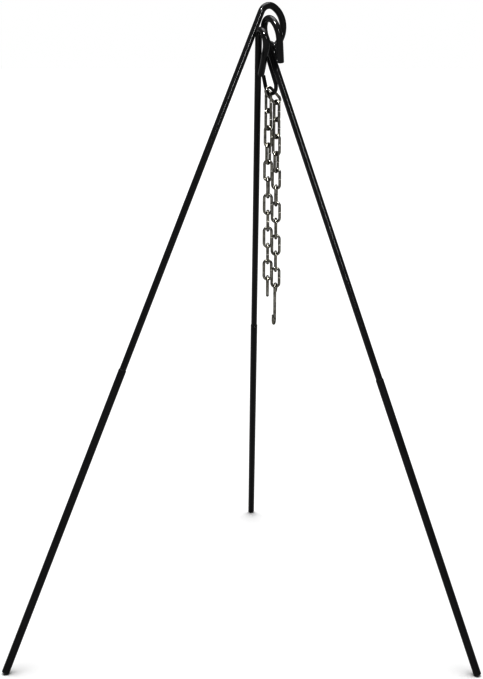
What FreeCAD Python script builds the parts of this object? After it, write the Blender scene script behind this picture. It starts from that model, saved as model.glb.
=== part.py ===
import FreeCAD, Part
import math
import os
import PartDesign
import Sketcher

# Camp tripod, in millimetres. Three two-piece legs lean together and their bent tops hook into
# each other. An S-hook hangs on the left leg's hook and carries a doubled chain with a pot hook.
# +Z is up, +X runs from the left foot to the right foot, +Y runs towards the rear foot, and the
# origin is on the ground under the middle of the whole object.

Vector = FreeCAD.Vector

# ---------------------------------------------------------------------------- driving dimensions

DIMENSIONS = {
    # upper rods: solid round bar, bent into an open hook at the top, turned down at the bottom
    "rod_diameter": 9.7,
    "tip_round": 0.8,
    "spigot_diameter": 8.6,
    "spigot_length": 45,
    "spigot_chamfer": 1.2,
    # lower legs: round tube, cut square at both ends
    "tube_diameter": 11.2,
    "tube_bore": 8.7,
    "tube_chamfer": 0.35,
    "left_tube_length": 481,
    "right_tube_length": 459,
    "rear_tube_length": 477,
    # where each leg's axis meets the ground
    "left_foot_x": -349,
    "left_foot_y": -309.6,
    "right_foot_x": 348.9,
    "right_foot_y": -314.7,
    "rear_foot_x": 19.8,
    "rear_foot_y": 314.5,
    # where each rod's straight run ends and its hook begins
    "left_bend_x": 29.21,
    "left_bend_y": -113.96,
    "left_bend_z": 948.78,
    "right_bend_x": 35.35,
    "right_bend_y": -112.15,
    "right_bend_z": 913.91,
    "rear_bend_x": 25.21,
    "rear_bend_y": -125.37,
    "rear_bend_z": 914.38,
    # the compass direction in which each hook bends over, from +X towards +Y
    "left_hook_heading": 31.46,
    "right_hook_heading": -60.79,
    "rear_hook_heading": -70.02,
    # each hook: a tight bend over its crown, a wider bend reaching down, and a straight tail
    "left_hook_radius": 14.93,
    "left_hook_angle": 93.7,
    "left_reach_radius": 33.27,
    "left_reach_angle": 121.1,
    "left_hook_tail": 17.6,
    "right_hook_radius": 18.97,
    "right_hook_angle": 154,
    "right_reach_radius": 26.85,
    "right_reach_angle": 57.4,
    "right_hook_tail": 33.1,
    "rear_hook_radius": 14.01,
    "rear_hook_angle": 158.4,
    "rear_reach_radius": 19.96,
    "rear_reach_angle": 40.5,
    "rear_hook_tail": 49.3,
    # S-hook
    "s_wire": 5.6,
    "s_shank": 44.6,
    "s_top_radius": 12.16,
    "s_top_angle": 204.3,
    "s_top_tail": 10.5,
    "s_low_radius": 12.67,
    "s_low_angle": 190.2,
    "s_low_tail": 15.3,
    "s_x": 44.03,
    "s_y": -95.06,
    "s_z": 868.97,
    "s_heading": -52.54,
    "s_roll": -15.93,
    "s_pitch": -10.03,
    # chain
    "link_wire": 4.1,
    "link_inner_length": 25.65,
    "link_inner_width": 7.3,
    "link_gap": 0.25,
    "top_link_heading": 28,
    "top_link_tilt": 44,
    "top_link_offset": 3.6,
    "strand_heading": 38,
    "twisted_links": 6,
    # pot hook
    "pot_wire": 4.4,
    "pot_eye_radius": 5.6,
    "pot_eye_angle": 318,
    "pot_shank": 46,
    "pot_hook_radius": 8,
    "pot_hook_angle": 188,
    "pot_hook_tail": 6,
    "pot_heading": -100,
}
LEFT_LINKS = 12
RIGHT_LINKS = 11
SIDES = ("left", "right", "rear")

doc = FreeCAD.newDocument("camp_tripod")
sheet = doc.addObject("Spreadsheet::Sheet", "Dims")
for row, (alias, value) in enumerate(DIMENSIONS.items(), 1):
    sheet.set(f"A{row}", alias)
    sheet.set(f"B{row}", str(value))
    sheet.setAlias(f"B{row}", alias)
doc.recompute()


def size(alias):
    """The value of one driving dimension."""
    return float(sheet.get(alias))


def heading(degrees):
    """The level unit vector that points in a compass direction."""
    return Vector(math.cos(math.radians(degrees)), math.sin(math.radians(degrees)), 0)


def frame(origin, x_axis, z_axis):
    """A placement whose Z axis is z_axis and whose X axis is as near x_axis as it can be."""
    across = z_axis.cross(x_axis).normalize()
    rotation = FreeCAD.Rotation(across.cross(z_axis), across, z_axis, "ZXY")
    return FreeCAD.Placement(origin, rotation)


# ------------------------------------------------------------------------------- sketch helpers

def new_body(name):
    body = doc.addObject("PartDesign::Body", name)
    body.Label = name
    return body


def new_sketch(body, name, role):
    sketch = body.newObject("Sketcher::SketchObject", f"{body.Name}_{name}")
    plane = next(f for f in body.Origin.OriginFeatures if f.Role == role)
    sketch.AttachmentSupport = (plane, [""])
    sketch.MapMode = "FlatFace"
    return sketch


def bind(sketch, name, constraint, expression):
    """Add a dimension to a sketch and drive it from the sheet."""
    index = sketch.addConstraint(constraint)
    sketch.renameConstraint(index, name)
    sketch.setExpression(f"Constraints.{name}", expression)


def circle_sketch(body, name, expression, diameter, x_expression=None, x=0.0):
    """A circle on the body's XY plane, centred on its X axis."""
    sketch = new_sketch(body, name, "XY_Plane")
    centre = Vector(x, 0, 0)
    sketch.addGeometry(Part.Circle(centre, Vector(0, 0, 1), diameter / 2))
    bind(sketch, "diameter", Sketcher.Constraint("Diameter", 0, diameter), expression)
    if x_expression is None:
        sketch.addConstraint(Sketcher.Constraint("Coincident", 0, 3, -1, 1))
    else:
        sketch.addConstraint(Sketcher.Constraint("PointOnObject", 0, 3, -1))
        bind(sketch, "offset", Sketcher.Constraint("DistanceX", -1, 1, 0, 3, x), x_expression)
    return sketch


def sweep(body, section, path):
    pipe = body.newObject("PartDesign::AdditivePipe", f"{body.Name}_wire")
    pipe.Profile = section
    pipe.Spine = (path, [])
    pipe.Mode = "Frenet"
    doc.recompute()
    return pipe


class BentPath:
    """A path sketch of straight runs and tangent bends on a body's XZ plane.

    It starts at a point of the Z axis and runs straight up or down. Each bend turns clockwise
    when its sense is +1 and anticlockwise when it is -1, seen with +X to the right.
    """

    def __init__(self, body, name):
        self.sketch = new_sketch(body, name, "XZ_Plane")
        self.count = 0

    def start(self, point, direction):
        self.point = Vector(*point, 0)
        self.direction = Vector(*direction, 0)
        self.last_end = None

    def _join(self, index, start_end):
        """Tie a new piece's start to the end of the piece before it."""
        if self.last_end is not None:
            previous, end = self.last_end
            tangent = Sketcher.Constraint("Tangent", previous, end, index, start_end)
            self.sketch.addConstraint(tangent)

    def run(self, expression, length):
        """A straight run on from the current point."""
        end = self.point + self.direction * length
        index = self.sketch.addGeometry(Part.LineSegment(self.point, end))
        self._join(index, 1)
        distance = Sketcher.Constraint("Distance", index, length)
        bind(self.sketch, f"run{index}", distance, expression)
        self.point, self.last_end = end, (index, 2)
        return index

    def bend(self, radius_expression, radius, angle_expression, angle, sense):
        """A tangent bend on from the current point, its angle in degrees."""
        turn = math.radians(angle)
        side = Vector(self.direction.y, -self.direction.x, 0) * sense
        centre = self.point + side * radius
        first = math.atan2(-side.y, -side.x)
        last = first - turn * sense
        circle = Part.Circle(centre, Vector(0, 0, 1), radius)
        low, high = min(first, last), max(first, last)
        index = self.sketch.addGeometry(Part.ArcOfCircle(circle, low, high))
        start_end, far_end = (2, 1) if sense > 0 else (1, 2)
        self._join(index, start_end)
        bind(self.sketch, f"radius{index}", Sketcher.Constraint("Radius", index, radius),
             radius_expression)
        bind(self.sketch, f"turn{index}", Sketcher.Constraint("Angle", index, turn),
             angle_expression)
        self.point = centre + Vector(math.cos(last), math.sin(last), 0) * radius
        cosine, sine = math.cos(turn * sense), math.sin(turn * sense)
        d = self.direction
        self.direction = Vector(d.x * cosine + d.y * sine, d.y * cosine - d.x * sine, 0)
        self.last_end = (index, far_end)
        return index


# ------------------------------------------------------------------------------------- the legs

def leg_layout(side):
    """Where one leg lies: its foot end, the direction up the leg, and its straight lengths."""
    ground = Vector(size(f"{side}_foot_x"), size(f"{side}_foot_y"), 0)
    bend = Vector(size(f"{side}_bend_x"), size(f"{side}_bend_y"), size(f"{side}_bend_z"))
    up = (bend - ground).normalize()
    # the end is cut square, so its lowest edge stands on the ground and its centre is higher
    lift = size("tube_diameter") / 2 * math.hypot(up.x, up.y) / up.z
    foot = ground + up * lift
    tube = size(f"{side}_tube_length")
    return foot, up, tube, (bend - foot).Length - tube


def upper_rod(side):
    """Solid bar: turned spigot, shoulder, straight run, hook, and a tail with a rounded rim.

    The hook is bent tighter over its crown than where it reaches down to its tail.
    """
    foot, up, tube, straight = leg_layout(side)
    sheet_row = len(DIMENSIONS) + 1 + SIDES.index(side)
    sheet.set(f"A{sheet_row}", f"{side}_rod_straight")
    sheet.set(f"B{sheet_row}", f"{straight:.4f}")
    sheet.setAlias(f"B{sheet_row}", f"{side}_rod_straight")
    doc.recompute()

    body = new_body(f"upper_rod_{side}")
    path = BentPath(body, "path")
    path.start((0, 0), (0, 1))
    first = path.run(f"Dims.{side}_rod_straight", straight)
    path.sketch.addConstraint(Sketcher.Constraint("Coincident", first, 1, -1, 1))
    path.sketch.addConstraint(Sketcher.Constraint("Vertical", first))
    for arc in ("hook", "reach"):
        path.bend(f"Dims.{side}_{arc}_radius", size(f"{side}_{arc}_radius"),
                  f"Dims.{side}_{arc}_angle * 1 deg", size(f"{side}_{arc}_angle"), 1)
    path.run(f"Dims.{side}_hook_tail", size(f"{side}_hook_tail"))
    section = circle_sketch(body, "bar", "Dims.rod_diameter", size("rod_diameter"))
    bar = sweep(body, section, path.sketch)

    spigot_circle = circle_sketch(body, "spigot", "Dims.spigot_diameter", size("spigot_diameter"))
    spigot = body.newObject("PartDesign::Pad", f"{body.Name}_spigot_pad")
    spigot.Profile = spigot_circle
    spigot.Reversed = True
    spigot.setExpression("Length", "Dims.spigot_length")
    doc.recompute()

    lowest = edge_at(spigot.Shape, Vector(0, 0, -size("spigot_length")))
    lead_in = body.newObject("PartDesign::Chamfer", f"{body.Name}_lead_in")
    lead_in.Base = (spigot, [lowest])
    lead_in.setExpression("Size", "Dims.spigot_chamfer")
    doc.recompute()

    tip = Vector(path.point.x, 0, path.point.y)
    rim = body.newObject("PartDesign::Fillet", f"{body.Name}_tip")
    rim.Base = (lead_in, [edge_at(lead_in.Shape, tip)])
    rim.setExpression("Radius", "Dims.tip_round")
    doc.recompute()
    body.Placement = frame(foot + up * tube, heading(size(f"{side}_hook_heading")), up)
    return body


def edge_at(shape, centre):
    """The name of the round edge whose centre is at a point."""
    for number, edge in enumerate(shape.Edges, 1):
        curve = edge.Curve
        if isinstance(curve, Part.Circle) and curve.Center.distanceToPoint(centre) < 0.01:
            return f"Edge{number}"
    raise RuntimeError(f"no round edge at {centre}")


def lower_leg(side):
    """Round tube, open at both ends; the spigot slides into its top."""
    foot, up, tube, _ = leg_layout(side)
    body = new_body(f"lower_leg_{side}")
    wall = circle_sketch(body, "wall", "Dims.tube_diameter", size("tube_diameter"))
    wall.addGeometry(Part.Circle(Vector(0, 0, 0), Vector(0, 0, 1), size("tube_bore") / 2))
    wall.addConstraint(Sketcher.Constraint("Coincident", 1, 3, -1, 1))
    bore = Sketcher.Constraint("Diameter", 1, size("tube_bore"))
    bind(wall, "bore", bore, "Dims.tube_bore")
    pad = body.newObject("PartDesign::Pad", f"{body.Name}_pad")
    pad.Profile = wall
    pad.setExpression("Length", f"Dims.{side}_tube_length")
    doc.recompute()

    outer = size("tube_diameter") / 2
    rims = [
        f"Edge{number}"
        for number, edge in enumerate(pad.Shape.Edges, 1)
        if isinstance(edge.Curve, Part.Circle) and abs(edge.Curve.Radius - outer) < 0.01
    ]
    ends = body.newObject("PartDesign::Chamfer", f"{body.Name}_ends")
    ends.Base = (pad, rims)
    ends.setExpression("Size", "Dims.tube_chamfer")
    doc.recompute()
    body.Placement = frame(foot, heading(size(f"{side}_hook_heading")), up)
    return body


# ----------------------------------------------------------------------------------- the S-hook

def s_hook():
    """Round wire bent to a letter S, its two open loops on opposite sides of a straight shank."""
    body = new_body("s_hook")
    half = size("s_shank") / 2
    path = BentPath(body, "path")
    path.start((0, -half), (0, 1))
    shank = path.run("Dims.s_shank", 2 * half)
    sketch = path.sketch
    sketch.addConstraint(Sketcher.Constraint("PointOnObject", shank, 1, -2))
    sketch.addConstraint(Sketcher.Constraint("Vertical", shank))
    middle = Sketcher.Constraint("DistanceY", shank, 1, -1, 1, half)
    bind(sketch, "half", middle, "Dims.s_shank / 2")
    path.bend("Dims.s_top_radius", size("s_top_radius"),
              "Dims.s_top_angle * 1 deg", size("s_top_angle"), 1)
    path.run("Dims.s_top_tail", size("s_top_tail"))

    # the lower loop starts again from the shank's lower end, downwards
    path.point, path.direction = Vector(0, -half, 0), Vector(0, -1, 0)
    path.last_end = (shank, 1)
    path.bend("Dims.s_low_radius", size("s_low_radius"),
              "Dims.s_low_angle * 1 deg", size("s_low_angle"), 1)
    path.run("Dims.s_low_tail", size("s_low_tail"))
    section = circle_sketch(body, "wire", "Dims.s_wire", size("s_wire"))
    sweep(body, section, sketch)

    turn = FreeCAD.Rotation(Vector(0, 0, 1), size("s_heading"))
    pitch = FreeCAD.Rotation(Vector(1, 0, 0), -size("s_pitch"))
    roll = FreeCAD.Rotation(Vector(0, 1, 0), size("s_roll"))
    place = Vector(size("s_x"), size("s_y"), size("s_z"))
    body.Placement = FreeCAD.Placement(place, turn * pitch * roll)
    return body


# ------------------------------------------------------------------------------------ the chain

def bottom_of_s_hook():
    """The wire's centre at the lowest point of the S-hook's lower loop, and the wire's run there."""
    body = doc.getObject("s_hook")
    radius, half = size("s_low_radius"), size("s_shank") / 2
    centre = body.Placement.multVec(Vector(-radius, 0, -half))
    in_plane = body.Placement.Rotation.multVec(Vector(1, 0, 0))
    upward = body.Placement.Rotation.multVec(Vector(0, 0, 1))
    steepest = math.atan2(upward.z, in_plane.z)
    point = centre - (in_plane * math.cos(steepest) + upward * math.sin(steepest)) * radius
    along = in_plane * math.sin(steepest) - upward * math.cos(steepest)
    return point, along


def chain_layout():
    """The centre, width direction, long direction and swing pin of every link, top link first.

    A swing pin is the centre of the wire that a link hangs on and that wire's direction there.
    The first link of each strand swings square to its own plane instead.
    """
    wire, gap = size("link_wire"), size("link_gap")
    half_run = (size("link_inner_length") - size("link_inner_width")) / 2
    room = (size("link_inner_width") - wire) / 2 - gap
    half_length = (size("link_inner_length") + wire) / 2
    pitch = size("link_inner_length") - gap
    tilt = math.radians(size("top_link_tilt"))
    level = heading(size("top_link_heading"))
    up = Vector(0, 0, 1)

    # the top link lies over the S-hook's lower loop like a beam, its left end higher
    along = level * math.cos(tilt) - up * math.sin(tilt)
    across = level * math.sin(tilt) + up * math.cos(tilt)
    saddle, s_run = bottom_of_s_hook()
    under_s = (size("link_inner_width") - size("s_wire")) / 2 - gap
    top = saddle + along * size("top_link_offset") - across * under_s
    layout = {"chain_top_link": (top, across, along, saddle, s_run)}

    left_pin = top - along * half_run - across * (room + wire + gap)
    left_wire = top - along * half_run - across * room
    right_wire = top + along * half_run - up * room
    right_pin = right_wire - up * (wire + gap)
    strands = (
        ("left", LEFT_LINKS, left_wire, left_pin),
        ("right", RIGHT_LINKS, right_wire, right_pin),
    )
    twist = (90 - size("strand_heading")) / size("twisted_links")
    for name, count, first_wire, pin in strands:
        pin_run = heading(size("strand_heading"))
        centre = first_wire - up * half_length
        turned = size("strand_heading") + 90
        for number in range(1, count + 1):
            width = heading(turned)
            layout[f"chain_{name}_{number:02d}"] = (centre, width, up, pin, pin_run)
            pin, pin_run = centre - up * half_length, width
            centre = centre - up * pitch
            turned += 90 + (twist if number <= size("twisted_links") else 0)
    layout["pot_hook_pin"] = (pin, pin_run)
    return layout


def chain_link(name, centre, width, length_axis):
    """One welded link: a closed wire loop with two straight sides."""
    body = new_body(name)
    radius = (size("link_inner_width") + size("link_wire")) / 2
    half_run = (size("link_inner_length") - size("link_inner_width")) / 2
    path = new_sketch(body, "path", "XZ_Plane")
    corner = {(x, y): Vector(x * radius, y * half_run, 0) for x in (-1, 1) for y in (-1, 1)}
    normal = Vector(0, 0, 1)
    path.addGeometry(Part.LineSegment(corner[-1, -1], corner[-1, 1]))
    upper = Part.Circle(Vector(0, half_run, 0), normal, radius)
    path.addGeometry(Part.ArcOfCircle(upper, 0, math.pi))
    path.addGeometry(Part.LineSegment(corner[1, 1], corner[1, -1]))
    lower = Part.Circle(Vector(0, -half_run, 0), normal, radius)
    path.addGeometry(Part.ArcOfCircle(lower, math.pi, 2 * math.pi))
    for first, first_end, second, second_end in ((0, 2, 1, 2), (1, 1, 2, 1), (2, 2, 3, 2), (3, 1, 0, 1)):
        tangent = Sketcher.Constraint("Tangent", first, first_end, second, second_end)
        path.addConstraint(tangent)
    path.addConstraint(Sketcher.Constraint("Vertical", 0))
    path.addConstraint(Sketcher.Constraint("Symmetric", 1, 3, 3, 3, -1, 1))
    bend = "(Dims.link_inner_width + Dims.link_wire) / 2"
    bind(path, "bend", Sketcher.Constraint("Radius", 1, radius), bend)
    run = "Dims.link_inner_length - Dims.link_inner_width"
    bind(path, "side", Sketcher.Constraint("Distance", 0, 2 * half_run), run)
    section = circle_sketch(body, "wire", "Dims.link_wire", size("link_wire"), bend, radius)
    sweep(body, section, path)
    body.Placement = frame(centre, width, length_axis)
    return body


# --------------------------------------------------------------------------------- the pot hook

def pot_hook(pin):
    """Round wire: an eye closed round the last link, a straight shank and an open hook."""
    body = new_body("pot_hook")
    half = size("pot_shank") / 2
    path = BentPath(body, "path")
    path.start((0, -half), (0, 1))
    shank = path.run("Dims.pot_shank", 2 * half)
    sketch = path.sketch
    sketch.addConstraint(Sketcher.Constraint("PointOnObject", shank, 1, -2))
    sketch.addConstraint(Sketcher.Constraint("Vertical", shank))
    middle = Sketcher.Constraint("DistanceY", shank, 1, -1, 1, half)
    bind(sketch, "half", middle, "Dims.pot_shank / 2")
    path.bend("Dims.pot_eye_radius", size("pot_eye_radius"),
              "Dims.pot_eye_angle * 1 deg", size("pot_eye_angle"), -1)
    path.point, path.direction = Vector(0, -half, 0), Vector(0, -1, 0)
    path.last_end = (shank, 1)
    path.bend("Dims.pot_hook_radius", size("pot_hook_radius"),
              "Dims.pot_hook_angle * 1 deg", size("pot_hook_angle"), -1)
    path.run("Dims.pot_hook_tail", size("pot_hook_tail"))
    section = circle_sketch(body, "wire", "Dims.pot_wire", size("pot_wire"))
    sweep(body, section, sketch)

    # the eye's top wire rests on the last link's wire
    towards = heading(size("pot_heading"))
    lift = (size("pot_wire") + size("link_wire")) / 2 + size("link_gap")
    eye_top = pin + Vector(0, 0, lift)
    eye_centre = Vector(-size("pot_eye_radius"), 0, half + size("pot_eye_radius"))
    place = eye_top - towards * eye_centre.x - Vector(0, 0, eye_centre.z)
    body.Placement = frame(place, towards, Vector(0, 0, 1))
    return body


# --------------------------------------------------------------------------------- the assembly

bodies = [upper_rod(side) for side in SIDES] + [lower_leg(side) for side in SIDES]
bodies.append(s_hook())
layout = chain_layout()
pot_pin, pot_pin_run = layout.pop("pot_hook_pin")
for name, (centre, width, length_axis, _, _) in layout.items():
    bodies.append(chain_link(name, centre, width, length_axis))
bodies.append(pot_hook(pot_pin))
doc.recompute()

# move the whole object so that the origin is on the ground under the middle of its box
box = FreeCAD.BoundBox()
for body in bodies:
    box.add(body.Shape.optimalBoundingBox(False, False))
origin_shift = Vector(-box.Center.x, -box.Center.y, -box.ZMin)
for body in bodies:
    body.Placement = FreeCAD.Placement(origin_shift, FreeCAD.Rotation()) * body.Placement
doc.recompute()

for item in doc.Objects:
    if "Invalid" in item.State or "Error" in item.State:
        raise RuntimeError(f"{item.Name} failed: {item.State}")
for body in bodies:
    if body.Shape.isNull() or not body.Shape.isValid() or len(body.Shape.Solids) != 1:
        raise RuntimeError(f"{body.Label} is not one valid solid")
os.makedirs("parts", exist_ok=True)
for body in bodies:
    body.Shape.exportStep(f"parts/{body.Label}.step")
print(f"{len(bodies)} parts, box {box.XLength:.1f} x {box.YLength:.1f} x {box.ZLength:.1f} mm,",
      f"origin moved by {origin_shift}")
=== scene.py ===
"""A campfire tripod of three hooked rods, with an S-hook, a doubled chain and a pot hook."""

import math

import bpy
import numpy as np
from mathutils import Matrix, Vector


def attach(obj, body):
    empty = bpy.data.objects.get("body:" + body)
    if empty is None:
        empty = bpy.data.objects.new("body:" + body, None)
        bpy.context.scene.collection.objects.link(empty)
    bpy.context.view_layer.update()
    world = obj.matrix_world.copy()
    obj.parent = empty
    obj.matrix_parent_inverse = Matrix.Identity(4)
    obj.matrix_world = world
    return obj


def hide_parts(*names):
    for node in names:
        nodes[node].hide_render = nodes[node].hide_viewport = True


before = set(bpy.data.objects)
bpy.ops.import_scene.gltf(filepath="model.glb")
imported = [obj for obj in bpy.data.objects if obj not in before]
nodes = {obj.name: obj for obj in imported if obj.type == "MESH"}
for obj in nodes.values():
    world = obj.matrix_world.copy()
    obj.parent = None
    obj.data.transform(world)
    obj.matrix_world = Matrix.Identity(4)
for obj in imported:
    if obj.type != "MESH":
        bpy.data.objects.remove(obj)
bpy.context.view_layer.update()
scene = bpy.context.scene
MM = 0.001
UP = Vector((0, 0, 1))
BLACK = (0.0, 0.0, 0.0)
WHITE = (1.0, 1.0, 1.0)


# ---------------------------------------------------------------- materials

# sizes of what shows on the paint
DUST_PATCH = 38 * MM
GRIT = 0.5 * MM
GRIT_HEIGHT = 0.004 * MM
ORANGE_PEEL = 2.2 * MM

# sizes of what shows on the zinc
CLOUD = 7 * MM
CRYSTAL = 1.6 * MM
PIT = 0.45 * MM
PIT_DEPTH = 0.05 * MM
STRAW_PATCH = 11 * MM


class Surface:
    """A procedural material: textures in object space feed one Principled shader."""

    def __init__(self, name):
        self.material = bpy.data.materials.new(name)
        self.material.use_nodes = True
        self.tree = self.material.node_tree
        self.shader = self.tree.nodes["Principled BSDF"]
        self.place = self.tree.nodes.new("ShaderNodeTexCoord").outputs["Object"]

    def link(self, source, target):
        self.tree.links.new(source, target)

    def drive(self, socket, source):
        """Feeds one of the shader's sockets."""
        self.link(source, self.shader.inputs[socket])

    def constant(self, **values):
        """Sets the shader's own sockets, which are named with _ for a space."""
        for name, value in values.items():
            self.shader.inputs[name.replace("_", " ")].default_value = value

    def noise(self, feature, detail, roughness=0.5, distortion=0.0):
        """Fractal noise whose features are about the given size in metres."""
        node = self.tree.nodes.new("ShaderNodeTexNoise")
        node.inputs["Scale"].default_value = 1.0 / feature
        node.inputs["Detail"].default_value = detail
        node.inputs["Roughness"].default_value = roughness
        node.inputs["Distortion"].default_value = distortion
        self.link(self.place, node.inputs["Vector"])
        return node.outputs["Fac"]

    def cells(self, size):
        """Irregular crystal cells of about the given size in metres, each with its own grey."""
        node = self.tree.nodes.new("ShaderNodeTexVoronoi")
        node.inputs["Scale"].default_value = 1.0 / size
        self.link(self.place, node.inputs["Vector"])
        grey = self.tree.nodes.new("ShaderNodeRGBToBW")
        self.link(node.outputs["Color"], grey.inputs["Color"])
        return grey.outputs["Val"]

    def ramp(self, value, *stops):
        """Turns a value into a colour, through stops of a position and a colour."""
        node = self.tree.nodes.new("ShaderNodeValToRGB")
        for element, (position, colour) in zip(node.color_ramp.elements, stops):
            element.position = position
            element.color = (*colour, 1.0)
        self.link(value, node.inputs["Fac"])
        return node.outputs["Color"]

    def span(self, value, low, high):
        """Maps the middle of a noise, 0.3 to 0.7, to low to high."""
        node = self.tree.nodes.new("ShaderNodeMapRange")
        node.inputs["From Min"].default_value = 0.3
        node.inputs["From Max"].default_value = 0.7
        node.inputs["To Min"].default_value = low
        node.inputs["To Max"].default_value = high
        self.link(value, node.inputs["Value"])
        return node.outputs["Result"]

    def mix(self, amount, first, second, mode="MIX"):
        """Mixes two colours. Each argument is a constant or another node's output."""
        node = self.tree.nodes.new("ShaderNodeMix")
        node.data_type = "RGBA"
        node.blend_type = mode
        inputs = [s for s in node.inputs if s.type == "RGBA"]
        if isinstance(amount, float):
            node.inputs["Factor"].default_value = amount
        else:
            self.link(amount, node.inputs["Factor"])
        for value, socket in zip((first, second), inputs):
            if isinstance(value, tuple):
                socket.default_value = (*value, 1.0)
            else:
                self.link(value, socket)
        return [s for s in node.outputs if s.type == "RGBA"][0]

    def bump(self, height, depth, strength, below=None):
        """A bump of the given depth in metres, laid over another bump if there is one."""
        node = self.tree.nodes.new("ShaderNodeBump")
        node.inputs["Distance"].default_value = depth
        node.inputs["Strength"].default_value = strength
        self.link(height, node.inputs["Height"])
        if below is not None:
            self.link(below, node.inputs["Normal"])
        return node.outputs["Normal"]


def grey(value):
    return (value, value, value)


def scaled(colour, factor):
    return tuple(factor * channel for channel in colour)


def black_coat(name, tone, roughness, gloss, peel_height):
    """Baked black powder coat: orange peel, fine grit, and dust that dulls it in patches."""
    s = Surface(name)
    patches = s.noise(DUST_PATCH, 4.0, 0.6)
    grit = s.noise(GRIT, 2.0, 0.6)
    peel = s.noise(ORANGE_PEEL, 2.0, 0.45)
    paint = s.ramp(patches, (0.3, scaled(tone, 0.8)), (0.7, scaled(tone, 1.25)))
    specks = s.ramp(grit, (0.70, BLACK), (0.80, WHITE))
    s.drive("Base Color", s.mix(specks, paint, scaled(tone, 2.2)))
    s.drive("Roughness", s.span(patches, *roughness))
    s.constant(Specular_IOR_Level=gloss)
    grain = s.bump(grit, GRIT_HEIGHT, 0.5)
    s.drive("Normal", s.bump(peel, peel_height, 0.8, below=grain))
    return s.material


def zinc(name, dark, light, straw, roughness):
    """Zinc-plated steel: mottled grey with fine crystals, pale straw stains and dark pits."""
    s = Surface(name)
    clouds = s.noise(CLOUD, 4.0, 0.65, 0.4)
    crystals = s.cells(CRYSTAL)
    pits = s.noise(PIT, 3.0, 0.7)
    mottled = s.ramp(clouds, (0.32, dark), (0.68, light))
    flecked = s.mix(0.28, mottled, s.ramp(crystals, (0.1, dark), (0.9, light)))
    stains = s.ramp(s.noise(STRAW_PATCH, 2.0), (0.42, BLACK), (0.66, WHITE))
    stained = s.mix(stains, flecked, s.mix(0.75, flecked, straw, "MULTIPLY"))
    soot = s.ramp(pits, (0.30, grey(0.35)), (0.46, WHITE))
    s.drive("Base Color", s.mix(0.8, stained, soot, "MULTIPLY"))
    s.drive("Roughness", s.span(clouds, *roughness))
    s.constant(Metallic=1.0, Specular_Tint=(0.14, 0.14, 0.13, 1.0))
    s.drive("Normal", s.bump(pits, PIT_DEPTH, 0.6))
    return s.material


ROD = black_coat(
    "rod powder coat", tone=(0.0062, 0.0062, 0.0065), roughness=(0.10, 0.17), gloss=0.20,
    peel_height=0.006 * MM)
TUBE = black_coat(
    "tube powder coat", tone=(0.0070, 0.0070, 0.0073), roughness=(0.16, 0.26), gloss=0.15,
    peel_height=0.010 * MM)
S_HOOK = black_coat(
    "hook powder coat", tone=(0.0058, 0.0058, 0.0061), roughness=(0.08, 0.14), gloss=0.28,
    peel_height=0.004 * MM)
PLATED_WIRE = {
    "dark": (0.072, 0.070, 0.063),
    "light": (0.33, 0.324, 0.299),
    "straw": (0.94, 0.92, 0.84),
    "roughness": (0.14, 0.26),
}
CHAIN = zinc("zinc chain", **PLATED_WIRE)
POT_HOOK = zinc("zinc hook", **PLATED_WIRE)
WELD = zinc(
    "weld bead", dark=(0.30, 0.296, 0.278), light=(0.58, 0.572, 0.54), straw=(0.97, 0.95, 0.90),
    roughness=(0.26, 0.40))


def finish_of(name):
    """The material of a CAD node."""
    if name.startswith("upper_rod"):
        return ROD
    if name.startswith("lower_leg"):
        return TUBE
    return {"s_hook": S_HOOK, "pot_hook": POT_HOOK}.get(name, CHAIN)


for name, node in nodes.items():
    for material_slot in node.material_slots:
        material_slot.material = finish_of(name)


# ---------------------------------------------------------------- chain links

WIRE = 4.1 * MM            # link wire
INNER_LENGTH = 25.65 * MM  # inside a link, end to end
INNER_WIDTH = 7.3 * MM     # inside a link, side to side
STRAIGHT = INNER_LENGTH - INNER_WIDTH

BEAD = 0.8 * MM            # half the length of the weld bead
BEAD_HEIGHT = 0.10         # how far the bead stands out, in wire radii
NECK = 2.6 * MM            # half the length of the wire that is thinned beside the weld
NECK_DEPTH = 0.035         # how far it is thinned, in wire radii
BEND_DEPTH = 0.03          # how far the wire is flattened in the bends, in wire radii
BEND_EASE = 2 * MM         # the length over which that flattening sets in
WANDER = 0.018 * MM        # how far the wire's surface wanders
WANDER_LENGTH = 3 * MM

AROUND = 20                # mesh sides round the wire
STEP = 0.45 * MM           # mesh step along the wire


def principal_frame(obj):
    """A flat node's centre and its long, wide and thin directions, from its own mesh."""
    points = np.empty(3 * len(obj.data.vertices))
    obj.data.vertices.foreach_get("co", points)
    points = points.reshape(-1, 3)
    centre = (points.min(axis=0) + points.max(axis=0)) / 2
    _, _, axes = np.linalg.svd(points - points.mean(axis=0), full_matrices=False)
    return Vector(centre), [Vector(axis) for axis in axes]


def stadium(length, width, step):
    """Points of a closed stadium centred on the origin, long along X, and each one's tangent."""
    radius = width / 2
    straight = length - width
    runs = round(straight / step)
    turns = round(math.pi * radius / step)
    points = []
    for side in (1, -1):
        for i in range(runs):
            x = side * (straight / 2 - straight * i / runs)
            points.append((Vector((x, side * radius, 0)), Vector((-side, 0, 0))))
        for i in range(turns):
            a = math.pi * i / turns
            out = Vector((-side * math.sin(a), side * math.cos(a), 0))
            along = Vector((-side * math.cos(a), -side * math.sin(a), 0))
            points.append((Vector((-side * straight / 2, 0, 0)) + radius * out, along))
    return points


def on_welded_side(point):
    return point.y > 0.4 * INNER_WIDTH


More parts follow.
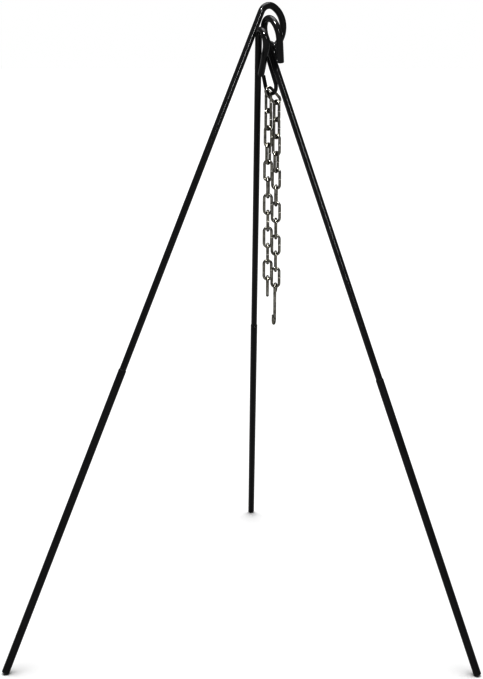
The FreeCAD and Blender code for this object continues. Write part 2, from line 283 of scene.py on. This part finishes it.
def wire_radius(point, angle, phases):
    """The wire's radius at an angle round it. It is slightly flat in the bends, thin beside the
    weld and lumpy on it, and its surface wanders by about two hundredths of a millimetre."""
    bead, neck = 0.0, 0.0
    if on_welded_side(point):
        bead = math.exp(-(point.x / BEAD) ** 2)
        neck = math.exp(-(point.x / NECK) ** 2)
    bent = min(1.0, max(0.0, (abs(point.x) - STRAIGHT / 2) / BEND_EASE))
    lumps = 1 + 0.35 * math.sin(3 * angle + phases[0]) + 0.25 * math.sin(5 * angle + phases[1])
    size = (1 - BEND_DEPTH * bent * abs(math.cos(angle)) - NECK_DEPTH * (neck - bead)
            + BEAD_HEIGHT * bead * lumps)
    wander = WANDER * math.sin(point.x / WANDER_LENGTH + 2 * angle + phases[2])
    return WIRE / 2 * size + wander


def link_mesh(name, seed):
    """A closed link of round wire, welded in the middle of one side."""
    phases = np.random.default_rng(seed).uniform(0, 2 * math.pi, 3)
    path = stadium(INNER_LENGTH + WIRE, INNER_WIDTH + WIRE, STEP)
    verts = []
    for point, along in path:
        across = along.cross(UP)
        for j in range(AROUND):
            a = 2 * math.pi * j / AROUND
            out = math.cos(a) * across + math.sin(a) * UP
            verts.append(point + wire_radius(point, a, phases) * out)
    faces, welded = [], []
    for i, (point, _) in enumerate(path):
        ring, next_ring = i * AROUND, (i + 1) % len(path) * AROUND
        for j in range(AROUND):
            k = (j + 1) % AROUND
            faces.append((ring + j, next_ring + j, next_ring + k, ring + k))
            welded.append(on_welded_side(point) and abs(point.x) < BEAD)
    mesh = bpy.data.meshes.new(name)
    mesh.from_pydata([tuple(v) for v in verts], [], faces)
    mesh.materials.append(CHAIN)
    mesh.materials.append(WELD)
    mesh.polygons.foreach_set("material_index", [int(w) for w in welded])
    mesh.polygons.foreach_set("use_smooth", [True] * len(faces))
    mesh.update()
    return mesh


def detailed_link(name, seed):
    """Puts a detailed link where the CAD link is, and lets it stand for that link."""
    centre, (long_way, wide_way, _) = principal_frame(nodes[name])
    if long_way.z < 0:
        long_way = -long_way
    if wide_way.x < 0:
        wide_way = -wide_way
    thin_way = long_way.cross(wide_way)
    link = bpy.data.objects.new("link_" + name, link_mesh("link_" + name, seed))
    scene.collection.objects.link(link)
    turned = Matrix((long_way, wide_way, thin_way)).transposed()
    link.data.transform(Matrix.Translation(centre) @ turned.to_4x4())
    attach(link, name)
    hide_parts(name)


for seed, name in enumerate(sorted(n for n in nodes if n.startswith("chain"))):
    detailed_link(name, seed)


# ---------------------------------------------------------------- floor, lights and camera

def pale_floor(reach):
    """A plain pale floor that runs to the horizon, and a collection that keeps a lamp off it."""
    verts = [(x, y, 0.0) for x in (-reach, reach) for y in (-reach, reach)]
    mesh = bpy.data.meshes.new("floor")
    mesh.from_pydata(verts, [], [(0, 2, 3, 1)])
    s = Surface("studio floor")
    s.drive("Base Color", s.ramp(s.noise(0.6, 2.0), (0.35, grey(0.86)), (0.65, grey(0.88))))
    s.constant(Roughness=0.9, Specular_IOR_Level=0.1)
    mesh.materials.append(s.material)
    floor = bpy.data.objects.new("floor", mesh)
    scene.collection.objects.link(floor)
    spared = bpy.data.collections.new("lit by daylight alone")
    spared.objects.link(floor)
    spared.collection_objects[0].light_linking.link_state = "EXCLUDE"
    return spared


def softbox(name, place, target, size, watts, spared):
    """A rectangular studio light on the object, kept off the floor, which would burn out."""
    light = bpy.data.lights.new(name, "AREA")
    light.shape = "RECTANGLE"
    light.size, light.size_y = size
    light.energy = watts
    lamp = bpy.data.objects.new(name, light)
    lamp.location = place
    lamp.rotation_euler = (Vector(target) - Vector(place)).to_track_quat("-Z", "Y").to_euler()
    lamp.light_linking.receiver_collection = spared
    scene.collection.objects.link(lamp)


def overhead_daylight(strength, spread):
    """A broad, even light from straight above, which keeps the whole floor pale."""
    light = bpy.data.lights.new("daylight", "SUN")
    light.energy = strength
    light.angle = math.radians(spread)
    lamp = bpy.data.objects.new("daylight", light)
    scene.collection.objects.link(lamp)


def studio_world(glow, seen):
    """Dim grey walls that light the object, seen by the camera as a white cove."""
    world = bpy.data.worlds.new("studio")
    world.use_nodes = True
    tree = world.node_tree
    walls = tree.nodes["Background"]
    walls.inputs["Color"].default_value = (*grey(glow), 1.0)
    cove = tree.nodes.new("ShaderNodeBackground")
    cove.inputs["Color"].default_value = (*grey(seen), 1.0)
    rays = tree.nodes.new("ShaderNodeLightPath")
    choice = tree.nodes.new("ShaderNodeMixShader")
    tree.links.new(rays.outputs["Is Camera Ray"], choice.inputs["Fac"])
    tree.links.new(walls.outputs["Background"], choice.inputs[1])
    tree.links.new(cove.outputs["Background"], choice.inputs[2])
    tree.links.new(choice.outputs["Shader"], tree.nodes["World Output"].inputs["Surface"])
    scene.world = world


def product_camera(place, tilt, lens):
    """A camera that looks along +Y, tilted up from straight down by an angle in degrees."""
    camera = bpy.data.cameras.new("camera")
    camera.sensor_width = 36.0
    camera.lens = lens
    holder = bpy.data.objects.new("camera", camera)
    holder.location = place
    holder.rotation_euler = (math.radians(tilt), 0, 0)
    scene.collection.objects.link(holder)
    scene.camera = holder


floor_spared = pale_floor(reach=60.0)
softbox("key", (-0.7, -1.6, 2.8), (0, 0, 0.9), (0.20, 0.20), 230, floor_spared)
softbox("strip", (0.78, -2.3, 1.65), (0.1, -0.2, 0.7), (0.14, 0.75), 44, floor_spared)
softbox("top", (0.0, 0.3, 3.4), (0, 0.2, 0), (2.4, 2.4), 90, floor_spared)
overhead_daylight(strength=3.25, spread=60)
studio_world(glow=0.26, seen=1.0)
product_camera(place=(0.0005, -1.8530, 0.8922), tilt=76.07, lens=61.49)
scene.view_settings.view_transform = "Standard"
scene.view_settings.gamma = 0.667
